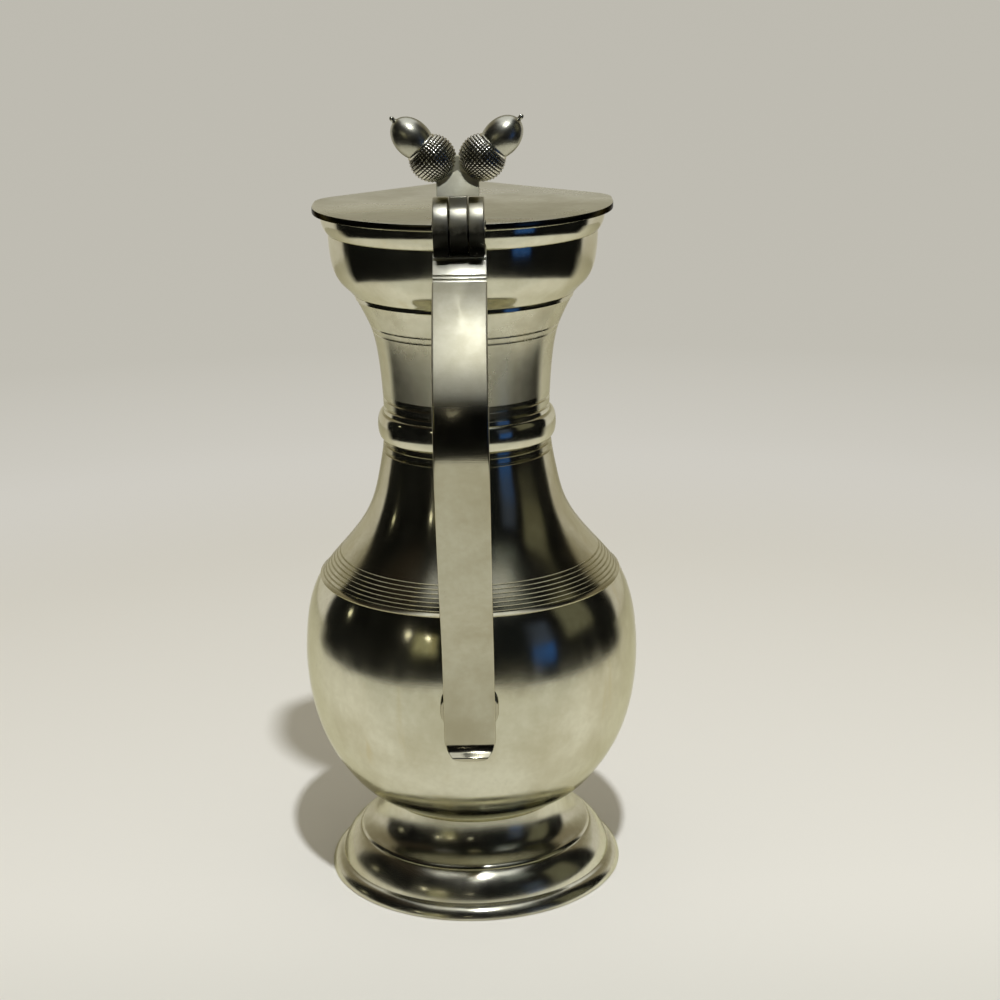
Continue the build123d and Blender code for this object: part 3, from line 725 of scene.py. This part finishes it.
def maths(tree, operation, a, b=0.0):
    return add(tree, "ShaderNodeMath", {0: a, 1: b}, operation=operation).outputs[0]


def blended(tree, share, first, second):
    """A colour between two, each of which is a colour or a socket."""
    mix = add(tree, "ShaderNodeMix", {"Factor": share}, data_type="RGBA")
    for place, value in ((6, first), (7, second)):
        if isinstance(value, bpy.types.NodeSocket):
            tree.links.new(value, mix.inputs[place])
        else:
            mix.inputs[place].default_value = (*value, 1)
    return mix.outputs[2]


def stepped(tree, value, stops):
    """A colour that runs through stops of (place, colour), with places from 0 to 1."""
    ramp = add(tree, "ShaderNodeValToRGB", {0: value}).color_ramp
    ramp.elements[0].position = stops[0][0]
    ramp.elements[0].color = (*stops[0][1], 1)
    ramp.elements[1].position = stops[-1][0]
    ramp.elements[1].color = (*stops[-1][1], 1)
    for place, colour in stops[1:-1]:
        ramp.elements.new(place).color = (*colour, 1)
    return tree.nodes[-1].outputs[0]


def eased(tree, value, low, high, to_low=0.0, to_high=1.0):
    """A smooth change from one number to another, while the value goes from low to high."""
    values = {"Value": value, "From Min": low, "From Max": high, "To Min": to_low, "To Max": to_high}
    return add(tree, "ShaderNodeMapRange", values, interpolation_type="SMOOTHSTEP").outputs[0]


def near_to(tree, value, centre, half, soft):
    """One where the value is within half of the centre, with a soft edge."""
    off = maths(tree, "ABSOLUTE", maths(tree, "SUBTRACT", value, centre))
    return eased(tree, off, half + soft, max(half - soft, 0.0))


def pewter(name, tint, rough, brushing, line_depth, pits=0.1, stretch=0.0, streaks=0.0, painted_shade_below=None,
           painted_reflection_band=None, scoured=None):
    """Pewter: patina in the colour, tool lines along the brushing, and clusters of small pits.

    Heights are in millimetres: the painted reflection band is a dark band between two of them, where the
    dark foot would show in the metal; the painted shade below darkens all below its first and fades out
    by its second; and scoured adds roughness from its first on, in full from its second.
    """
    material = bpy.data.materials.new(name)
    material.use_nodes = True
    tree = material.node_tree
    tree.nodes.clear()
    out = add(tree, "ShaderNodeOutputMaterial")
    edge = tuple(0.15 + 0.85 * t for t in tint)
    shader = add(tree, "ShaderNodeBsdfPrincipled", {"Metallic": 1.0, "Specular Tint": (*edge, 1),
                                                    "Anisotropic": stretch, "Anisotropic Rotation": 0.25})
    tree.links.new(shader.outputs[0], out.inputs[0])
    if stretch:
        around = add(tree, "ShaderNodeTangent", direction_type="RADIAL", axis="Z")
        tree.links.new(around.outputs[0], shader.inputs["Tangent"])
    place = add(tree, "ShaderNodeTexCoord").outputs["Object"]
    cloud = add(tree, "ShaderNodeTexNoise", {"Vector": place, "Scale": 34, "Detail": 6, "Roughness": 0.62})
    speck = add(tree, "ShaderNodeTexNoise", {"Vector": place, "Scale": 420, "Detail": 4, "Roughness": 0.6})
    tall = add(tree, "ShaderNodeMapping", {"Vector": place, "Scale": (170, 170, 14)})
    streak = add(tree, "ShaderNodeTexNoise", {"Vector": tall.outputs[0], "Scale": 1.0, "Detail": 5})
    shade = tuple(t * d / w for t, d, w in zip(tint, DULL, WARM))
    brown = tuple(t * b for t, b in zip(tint, (0.80, 0.72, 0.56)))
    colour = blended(tree, eased(tree, cloud.outputs[0], 0.30, 0.62), shade, tint)
    colour = blended(tree, eased(tree, streak.outputs[0], 0.58, 0.80, 0.0, streaks), colour, brown)
    colour = blended(tree, eased(tree, speck.outputs[0], 0.30, 0.70, 0.3, 0.0), colour, shade)
    height = add(tree, "ShaderNodeSeparateXYZ", {0: place}).outputs[2]
    # Painted reflection: a dark band between two heights, for the dark foot seen in the metal
    if painted_reflection_band:
        centre, half = (painted_reflection_band[0] + painted_reflection_band[1]) / 2 * MM, (painted_reflection_band[1] - painted_reflection_band[0]) / 2 * MM
        painted_reflection_mask = near_to(tree, height, centre, half, 1.6 * MM)
        colour = blended(tree, painted_reflection_mask, colour, tuple(t * 0.16 for t in tint))
    # Painted shade: nearly black below the first height, fading out by the second
    if painted_shade_below:
        ragged = maths(tree, "MULTIPLY", speck.outputs[0], 2.5 * MM)
        level = maths(tree, "ADD", height, ragged)
        colour = blended(tree, eased(tree, level, painted_shade_below[0] * MM, painted_shade_below[1] * MM),
                         tuple(t * 0.035 for t in tint), colour)
    cells = add(tree, "ShaderNodeTexVoronoi", {"Vector": place, "Scale": 800, "Randomness": 1.0})
    reach = eased(tree, cloud.outputs[0], 0.5, 0.72, 0.0, pits)
    pit = maths(tree, "LESS_THAN", cells.outputs["Distance"], reach)
    colour = blended(tree, pit, colour, tuple(t * 0.2 for t in tint))
    tree.links.new(colour, shader.inputs["Base Color"])
    smear = maths(tree, "ADD", cloud.outputs[0], maths(tree, "MULTIPLY", streak.outputs[0], streaks))
    middle = 0.5 + 0.5 * streaks
    roughness = eased(tree, smear, middle - 0.22, middle + 0.22, rough * 1.3, rough * 0.8)
    if scoured:
        low, high, more = scoured
        scratches = eased(tree, height, low * MM, high * MM, 0.0, more)
        roughness = maths(tree, "ADD", roughness, scratches)
    tree.links.new(roughness, shader.inputs["Roughness"])
    drawn = add(tree, "ShaderNodeMapping", {"Vector": place, "Scale": brushing})
    lines = add(tree, "ShaderNodeTexNoise", {"Vector": drawn.outputs[0], "Scale": 1.0, "Detail": 3,
                                             "Roughness": 0.7})
    normal = None
    for relief, depth in ((lines.outputs[0], line_depth), (speck.outputs[0], 0.012), (pit, -0.12)):
        values = {"Height": relief, "Strength": 1.0, "Distance": abs(depth) * MM}
        if normal:
            values["Normal"] = normal
        normal = add(tree, "ShaderNodeBump", values, invert=depth < 0).outputs[0]
    tree.links.new(normal, shader.inputs["Normal"])
    return material


# Room

def linear(red, green, blue):
    """A display colour as light."""
    return tuple((c / 255 / 12.92) if c < 11 else ((c / 255 + 0.055) / 1.055) ** 2.4
                 for c in (red, green, blue))


def seen(red, green, blue):
    """The light that shows in the metal as this display colour."""
    return tuple(c / own for c, own in zip(linear(red, green, blue), WARM))


EYE_LEVEL = 0.12
DARK = seen(12, 12, 9)
DEEP = seen(5, 5, 4)
BACK_EDGE = 122
PALE_STOPS = [(-90, seen(200, 195, 176)), (-8, seen(190, 185, 165)), (3, seen(186, 181, 160)),
              (11, seen(184, 179, 158)), (19, seen(146, 140, 114)), (30, seen(116, 108, 82)),
              (90, seen(84, 76, 56))]
# What the metal sees: azimuth, elevation, half width, half height, softness, colour
VIEWS = [
    (-92, 60, 32, 18, 9, seen(38, 32, 22)),
    (0, 18, 14, 36, 6, DEEP),
    (33, 16, 14, 26, 6, seen(13, 15, 13)),
    (83, 22, 13, 18, 4, seen(84, 82, 60)),
    (50, 14, 8, 12, 5, seen(50, 56, 62)),
    (51, -6, 8, 10, 2.5, seen(36, 66, 104)),
    (47, 58, 15, 13, 7, seen(84, 88, 78)),
    (80, 78, 11, 5, 3, seen(190, 188, 170)),
    (-32, 12, 8, 9, 3, seen(130, 126, 88)),
]
CEILING_FROM, CEILING_TO, CEILING_HALF = 68, 140, 0.40
CEILING = seen(222, 222, 206)

# The room's light on all that doesn't mirror it, the colours of the paper, and painted shade on its front
AMBIENT = (0.375, 0.353, 0.295)
PAPER_NEAR = (0.86, 0.838, 0.775)
PAPER_FAR = (0.80, 0.78, 0.72)
PAPER_FRONT_SHADE = (0.70, 0.69, 0.63)
TABLE_REACH = 0.42
TABLE_NARROWING = 1.18
PAPER_STOPS = [(0.40, linear(213, 210, 202)), (0.60, linear(203, 200, 191)), (0.85, linear(193, 190, 180)),
               (1.35, linear(189, 186, 176)), (2.20, linear(186, 183, 173))]
FLOOR_RADIUS, FLOOR_BEND, BACKDROP_TOP = 0.85, 0.5, 2.2

# The overhead lamp, in metres, and the share of it that shows in the metal
LAMP_PLACE = Vector((0.092, -0.483, 1.15))
LAMP_SIZE = 0.05
LAMP_POWER = 9.7
LAMP_COLOUR = (0.93, 0.955, 1.0)
METAL_SHARE = 0.42


def build_world():
    world = bpy.data.worlds.new("room")
    bpy.context.scene.world = world
    world.use_nodes = True
    world.cycles.sampling_method = "NONE"
    tree = world.node_tree
    place = add(tree, "ShaderNodeTexCoord").outputs["Generated"]
    way = add(tree, "ShaderNodeVectorMath", {0: place}, operation="NORMALIZE").outputs[0]
    x, y, z = add(tree, "ShaderNodeSeparateXYZ", {0: way}).outputs
    front = maths(tree, "MULTIPLY", y, -1.0)
    azimuth = maths(tree, "DEGREES", maths(tree, "ARCTAN2", x, front))
    elevation = maths(tree, "DEGREES", maths(tree, "ARCSINE", z))
    share = maths(tree, "DIVIDE", maths(tree, "ADD", elevation, 90.0), 180.0)
    pale = stepped(tree, share, [((height + 90) / 180, colour) for height, colour in PALE_STOPS])
    cloud = add(tree, "ShaderNodeTexNoise", {"Vector": way, "Scale": 3.5, "Detail": 3})
    murk = blended(tree, eased(tree, cloud.outputs[0], 0.4, 0.7), DARK, tuple(c * 2.2 for c in DARK))
    behind = eased(tree, maths(tree, "ABSOLUTE", azimuth), BACK_EDGE - 3, BACK_EDGE + 3)
    colour = blended(tree, behind, murk, pale)
    for centre, level, wide, high, soft, glow in VIEWS:
        mask = maths(tree, "MULTIPLY", near_to(tree, azimuth, centre, wide, soft),
                     near_to(tree, elevation, level, high, soft))
        colour = blended(tree, mask, colour, glow)
    over = maths(tree, "DEGREES", maths(tree, "ARCTAN2", z, front))
    middle, half = (CEILING_FROM + CEILING_TO) / 2, (CEILING_TO - CEILING_FROM) / 2
    mask = maths(tree, "MULTIPLY", near_to(tree, over, middle, half, 5.0),
                 near_to(tree, x, 0.0, CEILING_HALF, 0.1))
    colour = blended(tree, mask, colour, CEILING)
    glossy = add(tree, "ShaderNodeLightPath").outputs["Is Glossy Ray"]
    tree.links.new(blended(tree, glossy, AMBIENT, colour), tree.nodes["Background"].inputs["Color"])


def paper_material():
    """Pale paper that turns dark past the table's edge where the metal looks at it."""
    paper = bpy.data.materials.new("backdrop_paper")
    paper.use_nodes = True
    tree = paper.node_tree
    shader = tree.nodes["Principled BSDF"]
    shader.inputs["Roughness"].default_value = 1.0
    shader.inputs["Specular IOR Level"].default_value = 0.0
    place = add(tree, "ShaderNodeTexCoord").outputs["Object"]
    x, y, _ = add(tree, "ShaderNodeSeparateXYZ", {0: place}).outputs
    reach = add(tree, "ShaderNodeVectorMath", {0: place}, operation="LENGTH").outputs["Value"]
    front = maths(tree, "MULTIPLY", y, -1.0)
    sheet = blended(tree, eased(tree, reach, 0.25, 1.0), PAPER_NEAR, PAPER_FAR)
    # Painted shade: the floor turns darker in front of the flagon
    sheet = blended(tree, eased(tree, front, 0.02, 0.16), sheet, PAPER_FRONT_SHADE)
    tree.links.new(sheet, shader.inputs["Base Color"])
    path = add(tree, "ShaderNodeLightPath")
    turn = maths(tree, "ABSOLUTE", maths(tree, "DEGREES", maths(tree, "ARCTAN2", x, front)))
    narrow = add(tree, "ShaderNodeVectorMath", {0: place, 1: (TABLE_NARROWING, 1, 1)}, operation="MULTIPLY")
    edge = add(tree, "ShaderNodeVectorMath", {0: narrow.outputs[0]}, operation="LENGTH").outputs["Value"]
    outside = maths(tree, "MULTIPLY", eased(tree, edge, TABLE_REACH - 0.02, TABLE_REACH + 0.03),
                    eased(tree, turn, BACK_EDGE + 3, BACK_EDGE - 12))
    outside = maths(tree, "MULTIPLY", outside, path.outputs["Is Glossy Ray"])
    dark = add(tree, "ShaderNodeEmission", {"Color": (*DARK, 1)})
    table = add(tree, "ShaderNodeMixShader", {0: outside, 1: shader.outputs[0], 2: dark.outputs[0]})
    longest = PAPER_STOPS[-1][0]
    shown = stepped(tree, maths(tree, "DIVIDE", reach, longest), [(r / longest, c) for r, c in PAPER_STOPS])
    glow = add(tree, "ShaderNodeEmission", {"Color": shown})
    far = maths(tree, "MULTIPLY", eased(tree, reach, 0.32, 0.55), path.outputs["Is Camera Ray"])
    shown = add(tree, "ShaderNodeMixShader", {0: far, 1: table.outputs[0], 2: glow.outputs[0]})
    tree.links.new(shown.outputs[0], tree.nodes["Material Output"].inputs[0])
    return paper


def stage_object(name, bm, material):
    """Turns a bmesh in metres into a thing that belongs to the room."""
    mesh = bpy.data.meshes.new(name)
    bm.to_mesh(mesh)
    bm.free()
    mesh.shade_smooth()
    mesh.materials.append(material)
    thing = bpy.data.objects.new(name, mesh)
    bpy.context.collection.objects.link(thing)
    return thing


def build_paper():
    """A round floor, and about it a curved wall that only the camera sees."""
    paper = paper_material()
    bm = bmesh.new()
    bmesh.ops.create_circle(bm, cap_ends=True, radius=FLOOR_RADIUS, segments=96)
    stage_object("paper_floor", bm, paper)
    run = [(FLOOR_RADIUS + FLOOR_BEND * sin(a), FLOOR_BEND - FLOOR_BEND * cos(a))
           for a in [radians(6 * k) for k in range(16)]]
    bm = spin_loop(run + [(FLOOR_RADIUS + FLOOR_BEND, BACKDROP_TOP)], closed=False, steps=96)
    wall = stage_object("paper_wall", bm, paper)
    wall.visible_glossy = False
    wall.visible_diffuse = False
    wall.visible_shadow = False


def toward(azimuth, elevation, distance):
    """A place seen from the flagon, with azimuth 0 towards the camera and 90 to the right."""
    a, e = radians(azimuth), radians(elevation)
    return Vector((sin(a) * cos(e), -cos(a) * cos(e), sin(e))) * distance + Vector((0, 0, EYE_LEVEL))


def small_lamp(name, azimuth, elevation, wide, high, colour, distance=3.0):
    """A distant bright spot that only shows in the metal, with its size in degrees."""
    material = bpy.data.materials.new(name)
    material.use_nodes = True
    tree = material.node_tree
    tree.nodes.clear()
    glow = add(tree, "ShaderNodeEmission", {"Color": (*colour, 1)})
    add(tree, "ShaderNodeOutputMaterial", {0: glow.outputs[0]})
    bm = bmesh.new()
    bmesh.ops.create_circle(bm, cap_ends=True, radius=distance * radians(0.5), segments=24)
    bmesh.ops.scale(bm, vec=(wide, high, 1), verts=bm.verts)
    place = toward(azimuth, elevation, distance)
    facing = (Vector((0, 0, EYE_LEVEL)) - place).to_track_quat("Z", "Y")
    bmesh.ops.transform(bm, matrix=Matrix.Translation(place) @ facing.to_matrix().to_4x4(), verts=bm.verts)
    lamp = stage_object(name, bm, material)
    lamp.visible_camera = False
    lamp.visible_diffuse = False
    lamp.visible_shadow = False


def build_small_lamps():
    small_lamp("lamp_left", -45, 17, 3.0, 4.5, (4.2, 4.0, 3.2))
    small_lamp("lamp_middle", -30, 17, 3.0, 3.0, (4.2, 4.0, 3.2))
    small_lamp("lamp_front", -5, 17, 2.5, 2.5, (3.4, 3.2, 2.6))
    small_lamp("lamp_far", -97, 13, 2.5, 5.0, (2.2, 2.1, 1.5))


def area_light(name, power, in_metal):
    data = bpy.data.lights.new(name, "AREA")
    data.shape = "DISK"
    data.size = LAMP_SIZE
    data.energy = power
    data.color = LAMP_COLOUR
    lamp = bpy.data.objects.new(name, data)
    bpy.context.collection.objects.link(lamp)
    lamp.location = LAMP_PLACE
    lamp.rotation_mode = "QUATERNION"
    lamp.rotation_quaternion = (lamp.location - Vector((0, 0, EYE_LEVEL / 2))).to_track_quat("Z", "Y")
    lamp.visible_camera = False
    lamp.visible_glossy = in_metal


def build_lights():
    """One near lamp overhead, in two shares, because less than half of it shows in the metal."""
    area_light("key", LAMP_POWER * (1 - METAL_SHARE), False)
    area_light("key_glint", LAMP_POWER * METAL_SHARE, True)


def build_camera():
    """The photograph's view: where it stood, and its turn, dip and small roll."""
    distance, height = 0.634, 0.312
    turned_by, aim, dip, roll = radians(1.15), radians(0.926), radians(16.286), radians(0.984)
    yaw = aim - turned_by
    forward = Vector((sin(yaw) * cos(dip), cos(yaw) * cos(dip), -sin(dip)))
    level = Vector((cos(yaw), -sin(yaw), 0))
    down = forward.cross(level)
    right = level * cos(roll) + down * sin(roll)
    up = -(down * cos(roll) - level * sin(roll))
    data = bpy.data.cameras.new("camera")
    data.lens = 72.54
    data.sensor_width = 36
    data.clip_start = 0.01
    camera = bpy.data.objects.new("camera", data)
    bpy.context.collection.objects.link(camera)
    place = Vector((distance * sin(turned_by), -distance * cos(turned_by), height))
    camera.matrix_world = Matrix.Translation(place) @ Matrix((right, up, -forward)).transposed().to_4x4()
    bpy.context.scene.camera = camera


# Assembly

WORN = (0.57, 0.55, 0.425)
CAST = (0.66, 0.645, 0.53)
TURNED = (60, 60, 2600)

satin = pewter("pewter_turned", WARM, 0.12, TURNED, 0.003, 0.09, stretch=0.7, streaks=0.5)
foot_finish = pewter("pewter_foot", WARM, 0.19, TURNED, 0.003, 0.09, stretch=0.4, streaks=0.5)
shoulder_finish = pewter("pewter_shoulder", (0.64, 0.62, 0.47), 0.15, TURNED, 0.004, 0.09,
                         stretch=0.8, streaks=0.5)
# The bowl's dark band low down is a painted reflection of the dark foot.
bowl_finish = pewter("pewter_bowl", WARM, 0.13, TURNED, 0.0035, 0.09, stretch=0.6, streaks=0.7,
                     painted_reflection_band=(foot_top + 3.0, foot_top + 8.5))
neck_finish = pewter("pewter_neck", WARM, 0.25, TURNED, 0.004, 0.04, stretch=0.85, streaks=0.4)
lid_finish = pewter("pewter_lid", (0.79, 0.785, 0.66), 0.29, (900, 120, 900), 0.004)
lid_edge = pewter("pewter_lid_edge", (0.10, 0.095, 0.075), 0.2, (300, 300, 1800), 0.002)
brushed = pewter("pewter_brushed", WORN, 0.13, (90, 2600, 2600), 0.009, 0.06, stretch=0.35,
                 scoured=(strap_high[2] - 34, strap_high[2] - 25, 0.36))
block_finish = pewter("pewter_block", (0.80, 0.79, 0.66), 0.36, (1600, 300, 300), 0.006, 0.1)
# The hinge's barrels get painted shade: nearly black below about their middle.
cast = pewter("pewter_cast", CAST, 0.40, (500, 1500, 1500), 0.010, 0.36,
              painted_shade_below=(hinge_z - 0.6, hinge_z + 3.0))
# The stem's pewter is lightened with painted light, for light that the tilt of its face doesn't catch
stem_painted_light = pewter("pewter_stem_painted_light", (0.86, 0.85, 0.70), 0.56, (700, 700, 700), 0.020, 0.3)
knurled = pewter("pewter_knurled", (0.88, 0.87, 0.78), 0.20, (900, 900, 900), 0.003, 0.0)
# Near-black for the knurl's grooves: partly patina in the hollows, partly painted shade
groove = pewter("pewter_groove_patina_and_shade", (0.06, 0.058, 0.045), 0.5, (900, 900, 900), 0.003, 0.0)
bright = pewter("pewter_bright", (0.60, 0.60, 0.51), 0.27, (700, 700, 700), 0.004, 0.0)

make_foot(foot_finish)
make_body(bowl_finish, shoulder_finish)
make_neck(satin, neck_finish)
make_lid(satin, lid_finish, lid_edge)
make_ears(cast)
make_knuckle(cast)
make_strap(brushed)
make_pad(brushed)
make_block(block_finish)
make_stem(stem_painted_light)
for side, word in ((-1, "left"), (1, "right")):
    make_acorn_cup(side, word, knurled, groove)
    make_acorn_nut(side, word, bright)
for name, material in (("hinge_pin", bright), ("bottom_disc", satin)):
    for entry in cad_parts[name].material_slots:
        entry.material = material

build_world()
build_paper()
build_small_lamps()
build_lights()
build_camera()
bpy.context.scene.view_settings.view_transform = "Standard"
